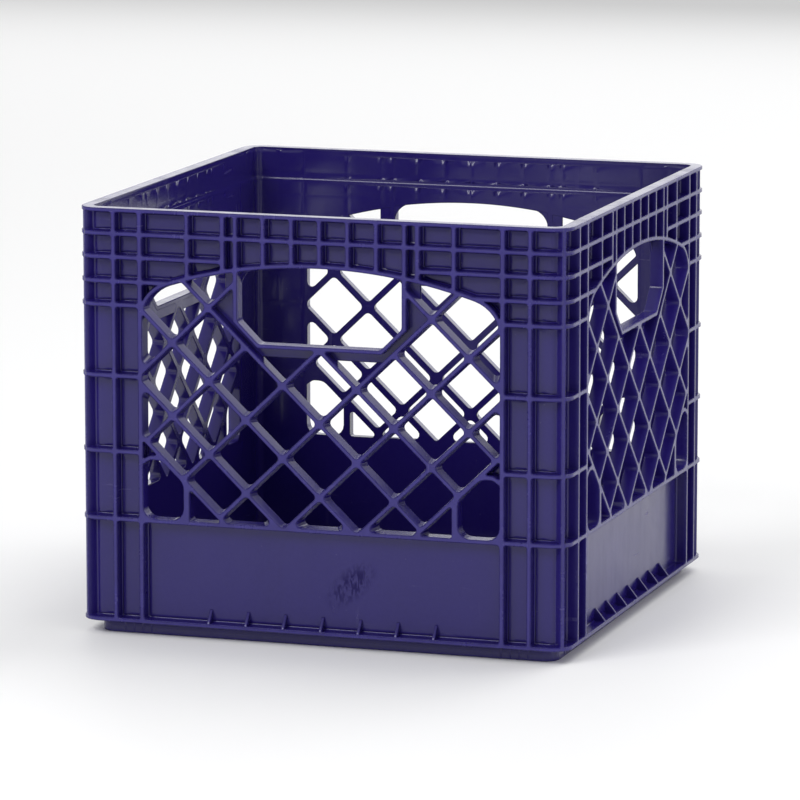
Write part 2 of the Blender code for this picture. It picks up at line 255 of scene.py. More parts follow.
# ---- mesh builder ----------------------------------------------------------------------------
class Builder:
    def __init__(self, place):
        self.place = place
        self.verts, self.faces, self.tip = [], [], []

    def vert(self, x, z, depth, tip=None):
        self.verts.append(Vector(self.place(x, z, depth)) * MM)
        # tip runs from 1 at the front face to 0 at TIP_REACH deep; it masks the scuffing and the
        # painted light of the rib tips
        self.tip.append(max(0.0, 1.0 - depth / TIP_REACH) if tip is None else tip)
        return len(self.verts) - 1

    def ring(self, loop, depth, tip=None):
        return [self.vert(x, z, depth(x, z) if callable(depth) else depth, tip)
                for x, z in loop]

    def loft(self, a, b, flip=False):
        """Quads between two closed rings of the same count."""
        n = len(a)
        for i in range(n):
            j = (i + 1) % n
            quad = [a[i], a[j], b[j], b[i]]
            self.faces.append(quad[::-1] if flip else quad)

    def fill(self, outline, holes, depth, guides=(), points=(), flip=False, tip=None):
        """Flat fill between rings, each given as (indices, loop)."""
        coords, faces, known = [], [], []
        for ids, loop in [outline] + list(holes):
            faces.append(list(range(len(coords), len(coords) + len(loop))))
            coords += [Vector(p) for p in loop]
            known += ids
        edges = []
        for a, b in guides:
            edges.append((len(coords), len(coords) + 1))
            coords += [Vector(a), Vector(b)]
            known += [None, None]
        for p in points:
            coords.append(Vector(p))
            known.append(None)
        verts, _, tris, origin, _, source = delaunay_2d_cdt(coords, edges, faces, 1, 1e-5)
        ids = []
        for v, from_ in zip(verts, origin):
            hit = [known[k] for k in from_ if known[k] is not None]
            ids.append(hit[0] if hit else None)
        for tri, from_ in zip(tris, source):
            if 0 not in from_ or any(k > 0 for k in from_):
                continue
            face = []
            for k in tri:
                if ids[k] is None:
                    x, z = verts[k]
                    ids[k] = self.vert(x, z, depth(x, z) if callable(depth) else depth, tip)
                face.append(ids[k])
            self.faces.append(face[::-1] if flip else face)

    def object(self, name, material):
        mesh = bpy.data.meshes.new(name)
        mesh.from_pydata(self.verts, [], self.faces)
        tip = mesh.attributes.new("tip", 'FLOAT', 'POINT')
        tip.data.foreach_set("value", self.tip)
        mesh.validate()
        mesh.shade_smooth()
        mesh.materials.append(material)
        obj = bpy.data.objects.new(name, mesh)
        bpy.context.scene.collection.objects.link(obj)
        normals = obj.modifiers.new("weighted_normals", 'WEIGHTED_NORMAL')
        normals.keep_sharp = False
        normals.weight = 88
        return obj


def profile(depth_total, through):
    """(inset, depth) rows of a pocket wall from the front edge to its end."""
    rows = [(-EDGE + EDGE * math.sin(a), EDGE - EDGE * math.cos(a))
            for a in map(math.radians, ROUND)]
    if through:
        return rows
    end = DRAFT * depth_total
    rows.append((end, depth_total - FLOOR_FILLET))
    for d in (30, 60, 90):
        b = math.radians(d)
        rows.append((end + FLOOR_FILLET * (1 - math.cos(b)),
                     depth_total - FLOOR_FILLET * (1 - math.sin(b))))
    return rows


def inside_points(poly, spacing, keep=1.6):
    """Loose points of a staggered grid inside a polygon, away from its edge."""
    x0, x1 = min(p[0] for p in poly), max(p[0] for p in poly)
    z0, z1 = min(p[1] for p in poly), max(p[1] for p in poly)
    out = []
    for j in range(int((z1 - z0) / spacing) + 1):
        for i in range(int((x1 - x0) / spacing) + 1):
            x = x0 + spacing * (i + 0.5 * (j % 2) + 0.31)
            z = z0 + spacing * (j + 0.37)
            if contains(poly, x, z) and edge_distance(poly, x, z) > keep:
                out.append((x, z))
    return out


def contains(poly, x, z):
    inside = False
    for a, b in zip(poly, poly[1:] + poly[:1]):
        if (a[1] > z) != (b[1] > z):
            if x < a[0] + (b[0] - a[0]) * (z - a[1]) / (b[1] - a[1]):
                inside = not inside
    return inside


def edge_distance(poly, x, z):
    best = 1e9
    for a, b in zip(poly, poly[1:] + poly[:1]):
        dx, dz = b[0] - a[0], b[1] - a[1]
        t = min(max(((x - a[0]) * dx + (z - a[1]) * dz) / (dx * dx + dz * dz + 1e-12), 0), 1)
        best = min(best, math.hypot(x - a[0] - t * dx, z - a[1] - t * dz))
    return best


def plate(build, outline, cells, inside, back_guides=(), front_guides=(), back_points=(),
          wave=None):
    """A ribbed wall.  outline is a list of (loop, depth) from the front to the inside."""
    rings = [build.ring(loop, depth) for loop, depth in outline]
    for a, b in zip(rings, rings[1:]):
        build.loft(a, b)
    front, back = [], []
    for cell in cells:
        through = cell.depth is None
        total = WALL if through else cell.depth
        rows = profile(total, through)
        loops = [(cell.loop(inset, depth / WALL), depth) for inset, depth in rows]
        if through:
            end = cell.draft * WALL
            for a in map(math.radians, ROUND):
                lift = EDGE_BACK * (1 - math.sin(a))
                inset = end - EDGE_BACK * (1 - math.cos(a))
                loops.append((cell.loop(inset, 1.0), lift))
            made = [build.ring(loop, depth) for loop, depth in loops[:len(rows)]]
            for loop, lift in loops[len(rows):]:
                made.append(build.ring(loop, lambda x, z, k=lift: inside(x, z) - k))
            back.append((made[-1], loops[-1][0]))
        else:
            def skin(z, extra):
                return cell.depth + extra - (STEP if z > RINGS[-1] else 0.0)

            def sheet(x, z):
                return skin(z, wave(x, z) if wave else 0.0)
            made = []
            for loop, depth in loops:
                if depth < total / 2:
                    made.append(build.ring(loop, depth))
                else:
                    made.append(build.ring(loop, lambda x, z, k=depth - total: skin(z, k)))
            floor = loops[-1][0]
            size = abs(area(floor))
            loose = []                          # points that carry the ripple of the sheet
            if size > SMALL_FLOOR:
                loose = inside_points(floor, 5.5 if size > LARGE_FLOOR else 4.5)
            build.fill((made[-1], floor), [], sheet, points=loose, tip=0.0,
                       guides=clipped_guides(floor, front_guides))
        for a, b in zip(made, made[1:]):
            build.loft(a, b, flip=True)
        front.append((made[0], loops[0][0]))
    build.fill((rings[0], outline[0][0]), front, 0.0, guides=front_guides)
    build.fill((rings[-1], outline[-1][0]), back, inside, guides=back_guides,
               points=back_points, flip=True, tip=0.0)


def clipped_guides(loop, guides):
    """Upright guide lines cut to a floor: they join the points that lie on them."""
    out = []
    for (x, _), _ in guides:
        zs = sorted(z for px, z in loop if abs(px - x) < 1e-4)
        if len(zs) >= 2:
            out.append(((x, zs[0]), (x, zs[-1])))
    return out


def wall_outline(x0, x1, cuts_x, inside):
    """Rings round a wall: rounded along the rim and the flange, cut square at the ends."""
    def loop(inset):
        low, high = inset, HEIGHT - inset
        xs = [x0] + cuts_x + [x1]
        return ([(x, low) for x in xs] + [(x1, z) for z in CUTS_Z]
                + [(x, high) for x in reversed(xs)] + [(x0, z) for z in reversed(CUTS_Z)])
    rows = [(EDGE * (1 - math.sin(a)), EDGE * (1 - math.cos(a)))
            for a in map(math.radians, ROUND)]
    out = [(loop(inset), depth) for inset, depth in rows]
    for inset, lift in reversed(rows):
        out.append((loop(inset), lambda x, z, k=lift: inside(x, z) - k))
    return out


# ---- cells of a side -------------------------------------------------------------------------
def strip_clip(poly, direction, low, high):
    half = STRIP * math.hypot(1 / PX, 1 / PZ)
    nx, nz = direction / PX, 1 / PZ
    poly = clip(poly, nx, nz, high - half)
    return clip(poly, -nx, -nz, -(low + half)) if poly else poly


def opening():
    edge, under = X_OPEN - RIB_WIDE, -RIM / 2
    xs = arch_xs(0.0, FILLET_START, 3.8)
    curve = [(x, arch_z(x, under)) for x in xs]
    start = math.atan2(arch_z(FILLET_START, 0) - FILLET_Z, FILLET_START - FILLET_X)
    for k in range(1, 9):
        a = start * (1 - k / 8)
        r = ARCH_FILLET + under
        curve.append((FILLET_X + r * math.cos(a), FILLET_Z + r * math.sin(a)))
    curve[-1] = (edge, curve[-1][1])
    return ([(-edge, LEDGE + RIB), (edge, LEDGE + RIB)] + curve[::-1]
            + [(-x, z) for x, z in curve[1:]])


def lattice_cells():
    region, cells = opening(), []
    bands = list(zip(STRIP_S, STRIP_S[1:]))
    for a0, a1 in bands:
        for b0, b1 in bands:
            poly = strip_clip(strip_clip(region, 1, a0, a1), -1, b0, b1)
            if not poly:
                continue
            pair = {round(a0 - V_S), round(b0 - V_S)}
            if a0 >= V_S and b0 >= V_S:
                if pair == {0, 6}:              # small window between arch, strip and V
                    edge = HAND_X + RIB_WIDE
                    poly = clip(poly, 1 if a0 < b0 else -1, 0, -edge)
                elif pair != {0}:
                    continue
            poly = cleaned(poly, 0.6)
            if len(poly) > 2 and abs(area(poly)) > SLIVER:
                cells.append(Cell(poly, 2.6, 4.2, draft=DRAFT_LATTICE))
    return cells


def meet(falling, rising):
    """Crossing of a falling and a rising lattice line."""
    return ((falling - rising) / 2 * PX, (falling + rising) / 2 * PZ)


def web_cell():
    """Opening between the V strip and the frame of the hand hole (left side)."""
    half = STRIP * math.hypot(1 / PX, 1 / PZ)
    v, sill, top = V_S + half, STRIP_S[4] + half, STRIP_S[6] - half
    slope = (HAND_Z - SILL_Z) / (SILL_X - HAND_X)
    drop = RIM / 2 * math.hypot(1, slope)
    z_sill = SILL_Z - RIM / 2
    x_side = -(HAND_X + RIB_WIDE)
    corner_x = (z_sill + drop - SILL_Z) / slope - SILL_X
    return [meet(v, sill),
            meet(v, top),
            (x_side, (top + x_side / PX) * PZ),
            (x_side, SILL_Z + slope * (x_side + SILL_X) - drop),
            (corner_x, z_sill),
            ((z_sill / PZ - sill) * PX, z_sill)]


def hand_cell():
    """The hand hole."""
    x = HAND_X - RIB_WIDE
    slope = (HAND_Z - SILL_Z) / (HAND_X - SILL_X)
    lift = RIM / 2 * math.hypot(1, slope)
    z_sill = SILL_Z + RIM / 2
    corner_x = SILL_X + (z_sill - lift - SILL_Z) / slope
    z_side = SILL_Z + slope * (x - SILL_X) + lift
    under = -RIM / 2
    curve = [(px, arch_z(px, under)) for px in arch_xs(-x, x, 3.8)]
    points = ([(-corner_x, z_sill), (corner_x, z_sill), (x, z_side)] + curve[::-1]
              + [(-x, z_side)])
    return Cell(points, 4.0, 5.0, None, {curve[0]: 1.6, curve[-1]: 1.6})


def side_cells():
    cells = lattice_cells() + [hand_cell()]
    web = web_cell()
    cells += [Cell(web, 1.1, 2.0), Cell([(-x, z) for x, z in web], 1.1, 2.0)]
    low, high = RINGS[-1] + RIB, HEIGHT - RIM
    ribs = sorted({s * x for x in X_RAIL for s in (-1, 1)})
    for a, b in zip(ribs, ribs[1:]):
        a += RIB_WIDE if a == ribs[0] else RIB
        b -= RIB_WIDE if b == ribs[-1] else RIB
        cells.append(Cell(rect(a, low, b, high), 1.4, 1.4, RECESS))
        under = [(x, arch_z(x, RIM / 2)) for x in arch_xs(a, b)]
        cells.append(Cell(under + [(b, RINGS[-1] - RIB), (a, RINGS[-1] - RIB)], 1.4, 1.4,
                          RECESS))
    half = []
    spans = [(X_RAIL[-1] + RIB_WIDE, X_BAND - RIB, RINGS[-2:]),
             (X_BAND + RIB, X_OPEN - RIB_WIDE, RINGS[-3:])]
    for a, b, rings in spans:
        half.append(Cell(rect(a, low, b, high), 1.4, 1.4, RECESS))
        marks = [SILL_Z - RIB] + rings
        for z0, z1 in zip(marks, marks[1:]):
            poly = above_arch(a, b, z0 + RIB, z1 - RIB)
            if len(poly) > 2 and area(poly) > SLIVER:
                half.append(Cell(poly, 1.6, 1.6, RECESS))
    edge = X_OPEN - RIB_WIDE
    line = STRIP_S[0] - STRIP * math.hypot(1 / PX, 1 / PZ)

    def strip_x(z, drop=0.0):
        return (z / PZ - line + drop) * PX
    low = LEDGE + RIB
    # hole in the corner, triangle on the other side of its bar, small recess over it
    pocket = [(edge, low), (edge, POCKET_SIDE_Z), (POCKET_TOP_X, POCKET_TOP_Z),
              (strip_x(POCKET_TOP_Z, 0.03), POCKET_TOP_Z),
              (POCKET_X, (line - 0.03 + POCKET_X / PX) * PZ), (POCKET_X, low)]
    half.append(Cell(pocket, 4.0, 4.0, None, dict(zip(pocket, POCKET_RADII))))
    half.append(Cell([(POCKET_BAR, low), (POCKET_BAR, (line + POCKET_BAR / PX) * PZ),
                      (strip_x(low), low)], 1.1, 2.4))
    half.append(Cell([(edge, POCKET_TOP_Z + 0.3), (edge, (line + edge / PX) * PZ - 0.2),
                      (strip_x(POCKET_CAP_Z) + 0.3, POCKET_CAP_Z),
                      (POCKET_TOP_X, POCKET_CAP_Z - 0.4)], 0.8, 0.8, RECESS))
    cells += half + [c.mirrored() for c in half]
    cells.append(Cell(rect(-edge, RIM, edge, LEDGE - RIB), 2.2, 2.2, RECESS))
    return cells


def column_cells(shift, guides):
    cells = []
    ends = [X_OPEN - shift, X_COLUMN - shift, 0.0]
    spans = [(ends[0] + RIB_WIDE, ends[1] - RIB), (ends[1] + RIB, -RIB)]
    spans += [(-b, -a) for a, b in spans]
    marks = [RIM - RIB] + RINGS + [HEIGHT - RIM + RIB]
    for a, b in spans:
        bends = [u for u in guides if a + 0.4 < u < b - 0.4]
        for z0, z1 in zip(marks, marks[1:]):
            low, high = z0 + RIB, z1 - RIB
            points = ([(a, low)] + [(u, low) for u in bends] + [(b, low), (b, high)]
                      + [(u, high) for u in reversed(bends)] + [(a, high)])
            cells.append(Cell(points, 1.5, 1.5, RECESS))
    return cells


# ---- places and surfaces ---------------------------------------------------------------------
def side_place(turn):
    def place(x, z, depth):
        p = (x, depth - HALF)
        for _ in range(turn):
            p = (-p[1], p[0])
        return p[0], p[1], z + FOOT
    return place


def corner_place(turn):
    arc, c = CORNER_R * math.pi / 4, HALF - CORNER_R

    def place(u, z, depth):
        if u < -arc:
            p = (c + u + arc, depth - HALF)
        elif u > arc:
            p = (HALF - depth, -c + u - arc)
        else:
            a = u / CORNER_R - math.pi / 4
            p = (c + (CORNER_R - depth) * math.cos(a), -c + (CORNER_R - depth) * math.sin(a))
        for _ in range(turn):
            p = (-p[1], p[0])
        return p[0], p[1], z + FOOT
    return place


def ripple(x, z):
    """Moulded sheet is never quite flat: slow waves of about a tenth of a millimetre."""
    return 0.10 * noise.noise(Vector((x / 31, z / 31, 3.7))) + 0.03 * noise.noise(
        Vector((x / 9, z / 9, 1.3)))


def crease(distance):
    """0 on the line of a rib and 1 away from it."""
    return 1 - math.exp(-(distance / CREASE) ** 2)


def step_depth(z, off_rib):
    """Depth of the inside wall, wider above the step; off_rib is 0 behind a rib, else 1."""
    spread = STEP_FADE * (1 - off_rib)
    lip = LIP * off_rib * smooth(LIP_LOW, LIP_HIGH, z)
    return WALL - STEP * smooth(STEP_LOW - spread, STEP_HIGH + spread, z) - lip


def side_inside(x, z):
    ax = abs(x)
    if z <= arch_z(min(ax, X_OPEN - 0.01), 0.0) - 1:
        flat = 0.4 * crease(z - LEDGE + 4) if z > LEDGE - 4 else crease(LEDGE - 4 - z)
        return WALL + ripple(x, z) + 0.2 * flat - 0.1
    across = crease(min(abs(ax - r) for r in X_RAIL + [X_BAND, X_OPEN]))
    rings = [RINGS[-1]]
    rings += [RINGS[-2]] if ax > X_RAIL[-1] else []
    rings += [RINGS[-3]] if ax > X_BAND else []
    along = crease(min(min(abs(z - r) for r in rings), z - arch_z(min(ax, X_OPEN - 0.01), 0.0)))
    return step_depth(z, across) + PILLOW * across * along + 0.6 * ripple(x, z)


def column_inside(u, z):
    end = X_OPEN - (HALF - CORNER_R + CORNER_R * math.pi / 4)
    ribs = (end, end + X_COLUMN - X_OPEN, 0.0)
    across = crease(min(abs(-abs(u) - r) for r in ribs))
    along = crease(min(abs(z - r) for r in RINGS + [RIM / 2]))
    return step_depth(z, across) + PILLOW * across * along


def rib_lines(centres, low, high):
    """Coordinates that follow the creases behind the ribs."""
    out = {c + d for c in centres for d in (-3.0, -1.2, 0.0, 1.2, 3.0)}
    marks = sorted(centres)
    out |= {(a + b) / 2 for a, b in zip(marks, marks[1:]) if b - a > 12}
    return sorted(v for v in out if low < v < high)


# ---- materials -------------------------------------------------------------------------------
PIGMENT = (0.0120, 0.0062, 0.103), (0.0158, 0.0085, 0.129)
MOTTLE = (0.022, 0.016, 0.145)
SCUFF_AND_LIT_TIP = (0.038, 0.029, 0.215)    # rib tips: partly wear, partly painted light on the exposed tips
SCRATCH = (0.16, 0.14, 0.33)
DUST = (0.25, 0.24, 0.38)
STAIN = (0.005, 0.002, 0.050)
STAIN_PLACE = (0.019, -0.158, 0.042)
STAIN_TILT = math.radians(-42)
STAIN_REACH = (0.024, 0.033, 0.011)


def plastic():
    """Glossy blue-violet polyethylene with mould texture, flow marks, scuffs, dust and painted
    light on the rib tips.
    """
    mat = bpy.data.materials.new("crate_polyethylene")
    mat.use_nodes = True
    nt = mat.node_tree
    bsdf = nt.nodes["Principled BSDF"]
    bsdf.inputs["IOR"].default_value = 1.46
    coord = nt.nodes.new("ShaderNodeTexCoord").outputs["Object"]
    tip = nt.nodes.new("ShaderNodeAttribute")
    tip.attribute_name = "tip"

    def mapped(scale):
        node = nt.nodes.new("ShaderNodeMapping")
        node.inputs["Scale"].default_value = scale
        nt.links.new(coord, node.inputs["Vector"])
        return node.outputs["Vector"]

    def noise_tex(scale, detail=3.0, rough=0.55, vector=None, distortion=0.0):
        node = nt.nodes.new("ShaderNodeTexNoise")
        node.inputs["Scale"].default_value = scale
        node.inputs["Detail"].default_value = detail
        node.inputs["Roughness"].default_value = rough
        node.inputs["Distortion"].default_value = distortion
        nt.links.new(vector or coord, node.inputs["Vector"])
        return node.outputs["Fac"]

    def ramp(value, stops):
        """stops: from low, from high, to low, to high."""
        node = nt.nodes.new("ShaderNodeMapRange")
        node.inputs["From Min"].default_value, node.inputs["From Max"].default_value = stops[:2]
        node.inputs["To Min"].default_value, node.inputs["To Max"].default_value = stops[2:]
        nt.links.new(value, node.inputs["Value"])
        return node.outputs["Result"]

    def math_node(op, a, b):
        node = nt.nodes.new("ShaderNodeMath")
        node.operation = op
        for socket, value in zip(node.inputs, (a, b)):
            if isinstance(value, (int, float)):
                socket.default_value = value
            else:
                nt.links.new(value, socket)
        return node.outputs["Value"]

    def mix(fac, a, b):
        node = nt.nodes.new("ShaderNodeMix")
        node.data_type = 'RGBA'
        nt.links.new(fac, node.inputs["Factor"])
        for name, value in (("A", a), ("B", b)):
            socket = [s for s in node.inputs if s.name == name and s.type == 'RGBA'][0]
            if isinstance(value, tuple):
                socket.default_value = (*value, 1.0)
            else:
                nt.links.new(value, socket)
        return [s for s in node.outputs if s.type == 'RGBA'][0]

    # pigment: slow flow variation and a fine mottle
    flow = noise_tex(9.0, 4.0, 0.6, mapped((1.0, 1.0, 0.45)), 0.6)
    mottle = noise_tex(420.0, 2.0, 0.5)
    colour = mix(ramp(flow, (0.3, 0.7, 0.0, 1.0)), *PIGMENT)
    colour = mix(ramp(mottle, (0.3, 0.75, 0.0, 0.22)), colour, MOTTLE)
    # rib tips are painted lighter: partly scuffing, partly painted light, as if the exposed tips
    # catch more light than the deeper faces
    tip_scuff_and_light = math_node('MULTIPLY', ramp(tip.outputs["Fac"], (0.55, 1.0, 0.0, 1.0)),
                        ramp(noise_tex(60.0, 4.0, 0.7), (0.3, 0.7, 0.25, 1.0)))
    colour = mix(math_node('MULTIPLY', tip_scuff_and_light, 0.65), colour, SCUFF_AND_LIT_TIP)
    # scratches: thin lines of stretched noise, in patches
    scratch_a = noise_tex(260.0, 1.0, 0.4, mapped((0.10, 0.10, 1.0)), 0.4)
    scratch_b = noise_tex(240.0, 1.0, 0.4, mapped((1.0, 1.0, 0.07)), 0.5)
    lines = math_node('MAXIMUM', ramp(scratch_a, (0.685, 0.72, 0.0, 1.0)),
                      ramp(scratch_b, (0.70, 0.74, 0.0, 1.0)))
    patch = ramp(noise_tex(14.0, 2.0, 0.5), (0.52, 0.68, 0.0, 1.0))
    scratches = math_node('MULTIPLY', lines, patch)
    colour = mix(math_node('MULTIPLY', scratches, 0.14), colour, SCRATCH)
    # dust specks
    speck = nt.nodes.new("ShaderNodeTexVoronoi")
    speck.inputs["Scale"].default_value = 170.0
    nt.links.new(coord, speck.inputs["Vector"])
    dots = math_node('MULTIPLY', ramp(speck.outputs["Distance"], (0.10, 0.05, 0.0, 1.0)),
                     ramp(noise_tex(30.0, 2.0, 0.5), (0.56, 0.66, 0.0, 1.0)))
    colour = mix(math_node('MULTIPLY', dots, 0.12), colour, DUST)
    # a smeared stain low on the front, drawn out upward to the right
    place = nt.nodes.new("ShaderNodeMapping")
    place.vector_type = 'TEXTURE'
    place.inputs["Location"].default_value = STAIN_PLACE
    place.inputs["Rotation"].default_value = (0.0, STAIN_TILT, 0.0)
    place.inputs["Scale"].default_value = STAIN_REACH
    nt.links.new(coord, place.inputs["Vector"])
    reach = nt.nodes.new("ShaderNodeVectorMath")
    reach.operation = 'LENGTH'
    nt.links.new(place.outputs["Vector"], reach.inputs[0])
    smear = math_node('MULTIPLY', ramp(reach.outputs["Value"], (1.0, 0.4, 0.0, 1.0)),
                      ramp(noise_tex(330.0, 2.0, 0.5, mapped((1.3, 1.0, 0.45)), 1.0),
                           (0.43, 0.56, 0.0, 1.0)))
    colour = mix(math_node('MULTIPLY', smear, 0.7), colour, STAIN)
    nt.links.new(ramp(smear, (0.0, 1.0, 0.5, 0.2)), bsdf.inputs["Specular IOR Level"])
    nt.links.new(colour, bsdf.inputs["Base Color"])

    # gloss: smudged, rougher on scratches and tips
    smudge = ramp(noise_tex(24.0, 4.0, 0.65, distortion=1.2), (0.3, 0.7, 0.13, 0.22))
    streak = ramp(noise_tex(110.0, 3.0, 0.6, mapped((1.0, 1.0, 0.08)), 0.3),
                  (0.35, 0.7, 0.0, 0.06))
    rough = math_node('ADD', smudge, math_node('MULTIPLY', scratches, 0.12))
    rough = math_node('ADD', rough, streak)
    rough = math_node('ADD', rough, math_node('MULTIPLY', tip_scuff_and_light, 0.08))
    nt.links.new(rough, bsdf.inputs["Roughness"])

    # relief: mould texture, orange peel and scratches
    peel = noise_tex(85.0, 2.0, 0.5)
    grain = noise_tex(1500.0, 2.0, 0.6)
    height = math_node('ADD', peel, math_node('MULTIPLY', grain, 0.06))
    height = math_node('SUBTRACT', height, math_node('MULTIPLY', scratches, 0.08))
    bump = nt.nodes.new("ShaderNodeBump")
    bump.inputs["Strength"].default_value = 0.10
    bump.inputs["Distance"].default_value = 0.0004
    nt.links.new(height, bump.inputs["Height"])
    nt.links.new(bump.outputs["Normal"], bsdf.inputs["Normal"])
    return mat


# ---- the pieces ------------------------------------------------------------------------------
PLASTIC = plastic()


def finish_piece(obj, *nodes):
    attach(obj, "root")
    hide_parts(*nodes)
    return obj


def make_side(turn, name):
    build = Builder(side_place(turn))
    x0, x1 = -X_OPEN, X_OPEN
    cells = side_cells()
    holes = [c.loop(-EDGE_BACK, 1.0) for c in cells if c.depth is None]
    loose = inside_points(rect(x0 + 1, 1.5, x1 - 1, LEDGE - 2), 6.0)
    ribs = sorted({s * x for x in X_RAIL + [X_BAND, X_OPEN] for s in (-1, 1)})
    levels = rib_lines(RINGS[-3:] + [HEIGHT - RIM / 2], RINGS[-3] - 4, HEIGHT - 2)
    grid = [(x, z) for x in rib_lines(ribs, x0 + 0.5, x1 - 0.5) for z in levels]
    loose += [p for p in grid if all(abs(p[1] - c) > 0.3 for c in CUTS_Z)
              and all(not contains(h, *p) and edge_distance(h, *p) > 0.9 for h in holes)]
    back_guides = [((x0, z), (x1, z)) for z in CUTS_Z]
    plate(build, wall_outline(x0, x1, [], side_inside), cells, side_inside,
          back_guides=back_guides, back_points=loose, wave=ripple)
    add_webs(build)
    add_gussets(build)
    nodes = [f"{name}_{part}" for part in ("hand_rail", "shoulder_a", "shoulder_b", "lattice_a",
                                           "lattice_b", "lattice_mid", "lower_panel")]
    return finish_piece(build.object(name + "_side", PLASTIC), *nodes)


def slab(build, outline, front, back, edge=0.5):
    """Thin closed sheet with rounded outline, let into its neighbours."""
    cell = Cell(outline, 0.6, 0.6)
    rows = [(edge, front), (0.15, front + 0.18), (0.0, front + edge), (0.0, back - edge),
            (0.15, back - 0.18), (edge, back)]
    loops = [(cell.loop(inset, 0.0), depth) for inset, depth in rows]
    rings = [build.ring(loop, depth, 0.0) for loop, depth in loops]
    for a, b in zip(rings, rings[1:]):
        build.loft(a, b)
    build.fill((rings[0], loops[0][0]), [], front)
    build.fill((rings[-1], loops[-1][0]), [], back, flip=True)


def hand_fillet(radius=13.0):
    """Rounded upper corner of the hand hole in the sheet behind its frame (left side)."""
    edge = RIB_WIDE - HAND_X
    cx = edge + radius
    cz = arch_z(cx, -RIM / 2) - radius
    arc = [(cx - radius * math.cos(a), cz + radius * math.sin(a))
           for a in (math.radians(10 * k) for k in range(9))]
    return [(-HAND_X, cz)] + arc + [(cx, arch_z(cx, 0.0)), (-HAND_X, arch_z(HAND_X, 0.0))]


def add_webs(build):
    """Sheet that closes the corners round the hand hole, set back from the strips."""
    for s in (-1, 1):
        low = [((V_S - WEB_Z / PZ) * PX, WEB_Z), ((WEB_Z / PZ - STRIP_S[4]) * PX, WEB_Z),
               ((SILL_Z / PZ - STRIP_S[4]) * PX, SILL_Z), (-SILL_X, SILL_Z),
               (-HAND_X, HAND_Z), *hand_fillet(), (-WEB_X, arch_z(WEB_X, 0)),
               (-WEB_X, (STRIP_S[6] - WEB_X / PX) * PZ), meet(V_S, STRIP_S[6])]
        outline = low if s < 0 else [(-x, z) for x, z in low]
        if area(outline) < 0:
            outline = outline[::-1]
        slab(build, outline, RECESS, WALL - 0.12)


def add_gussets(build):
    """Small triangular webs between the flange and the lower panel."""
    for i in range(-3, 4):
        x = GUSSET_PITCH * i
        t, low, high = GUSSET_HALF, RIM - 0.6, RIM + GUSSET_H
        section = [(low, 0.35), (RIM + 0.2, 0.35), (RIM + 1.2, 1.0), (high - 0.8, RECESS - 1.0),
                   (high, RECESS + 0.5), (low, RECESS + 0.5)]
        rings = []
        for dx in (-t, -t + GUSSET_EDGE, t - GUSSET_EDGE, t):
            shrink = GUSSET_EDGE if abs(dx) == t else 0.0
            ring = []
            for z, depth in section:
                free = shrink if depth < RECESS else 0.0     # none inside the panel
                if z > RIM:
                    z -= shrink
                elif z < RIM:
                    z += free
                ring.append(build.vert(x + dx, z, depth + free))
            rings.append(ring)
        for a, b in zip(rings, rings[1:]):
            build.loft(a, b)
        build.faces.append(rings[0][::-1])
        build.faces.append(rings[-1])


def make_column(turn):
    build = Builder(corner_place(turn))
    arc = CORNER_R * math.pi / 4
    shift = HALF - CORNER_R + arc
    end = X_OPEN - shift
    bends = [arc * k / 4 for k in range(-4, 5)]
    front_guides = [((u, EDGE), (u, HEIGHT - EDGE)) for u in bends]
    lines = rib_lines([end, end + X_COLUMN - X_OPEN], end + 0.5, -arc - 0.8)
    lines += [-u for u in lines]
    levels = rib_lines(RINGS + [HEIGHT - RIM / 2], 3.0, HEIGHT - 2)
    grid = [(u, z) for u in lines + bends for z in levels
            if all(abs(z - c) > 0.3 for c in CUTS_Z)]
    grid += [(u, z) for u in lines for z in CUTS_Z]
    back_guides = front_guides + [((end, z), (-end, z)) for z in CUTS_Z]
    plate(build, wall_outline(end, -end, bends, column_inside),
          column_cells(shift, bends), column_inside, back_guides=back_guides,
          front_guides=front_guides, back_points=grid)
    return finish_piece(build.object(f"column_{turn + 1}", PLASTIC), f"corner_column_{turn + 1}")


for turn, name in enumerate(("front", "right", "back", "left")):
    make_side(turn, name)
    make_column(turn)


# ---- base ------------------------------------------------------------------------------------
def square_loop(half, radius, steps=5):
    out = []
    for k, (sx, sy) in enumerate(((1, 1), (-1, 1), (-1, -1), (1, -1))):
        for i in range(steps + 1):
            a = math.pi / 2 * (k + i / steps)
            out.append(((half - radius) * sx + radius * math.cos(a),
                        (half - radius) * sy + radius * math.sin(a)))
    return out


def add_ridge(build, turn, x, high=FOOT - 0.1, low=1.2):
    """Small upright ridge on the outside of the foot, running out towards its low end."""
    ends = []
    for z, run_out in ((high, 0.0), (low, 0.5)):
        end = []
        for px, d in ((-0.9, 0.4), (-0.5, -0.6), (0.5, -0.6), (0.9, 0.4)):
            p = (x + px, -FOOT_OUT + d + (run_out if d < 0 else 0.0))
            for _ in range(turn):
                p = (-p[1], p[0])
            end.append(build.vert(p[0], p[1], z, 0.2))
        ends.append(end)
    build.loft(*ends, flip=True)
    build.faces += [ends[0], ends[1][::-1]]


def make_foot():
    """Ring under the flange, with small ridges under the corner columns."""
    build = Builder(lambda x, y, z: (x, y, z))
    top = FOOT + 0.3
    # half width, corner radius and height, from the outside over the underside to the inside
    rows = [(FOOT_OUT, 10.0, top), (FOOT_OUT, 10.0, 0.9), (154.7, 9.7, 0.25), (154.1, 9.1, 0.0),
            (152.8, 7.8, 0.0), (152.2, 7.2, 0.25), (151.9, 6.9, 0.9), (151.7, 6.7, top)]
    rings = [build.ring(square_loop(h, r), z, 0.2) for h, r, z in rows]
    for a, b in zip(rings, rings[1:] + rings[:1]):
        build.loft(a, b, flip=True)
    for turn in range(4):
        for x in [s * x for s in (-1, 1) for x in FOOT_RIDGES]:
            add_ridge(build, turn, x)
    return finish_piece(build.object("foot", PLASTIC), "foot_ring")


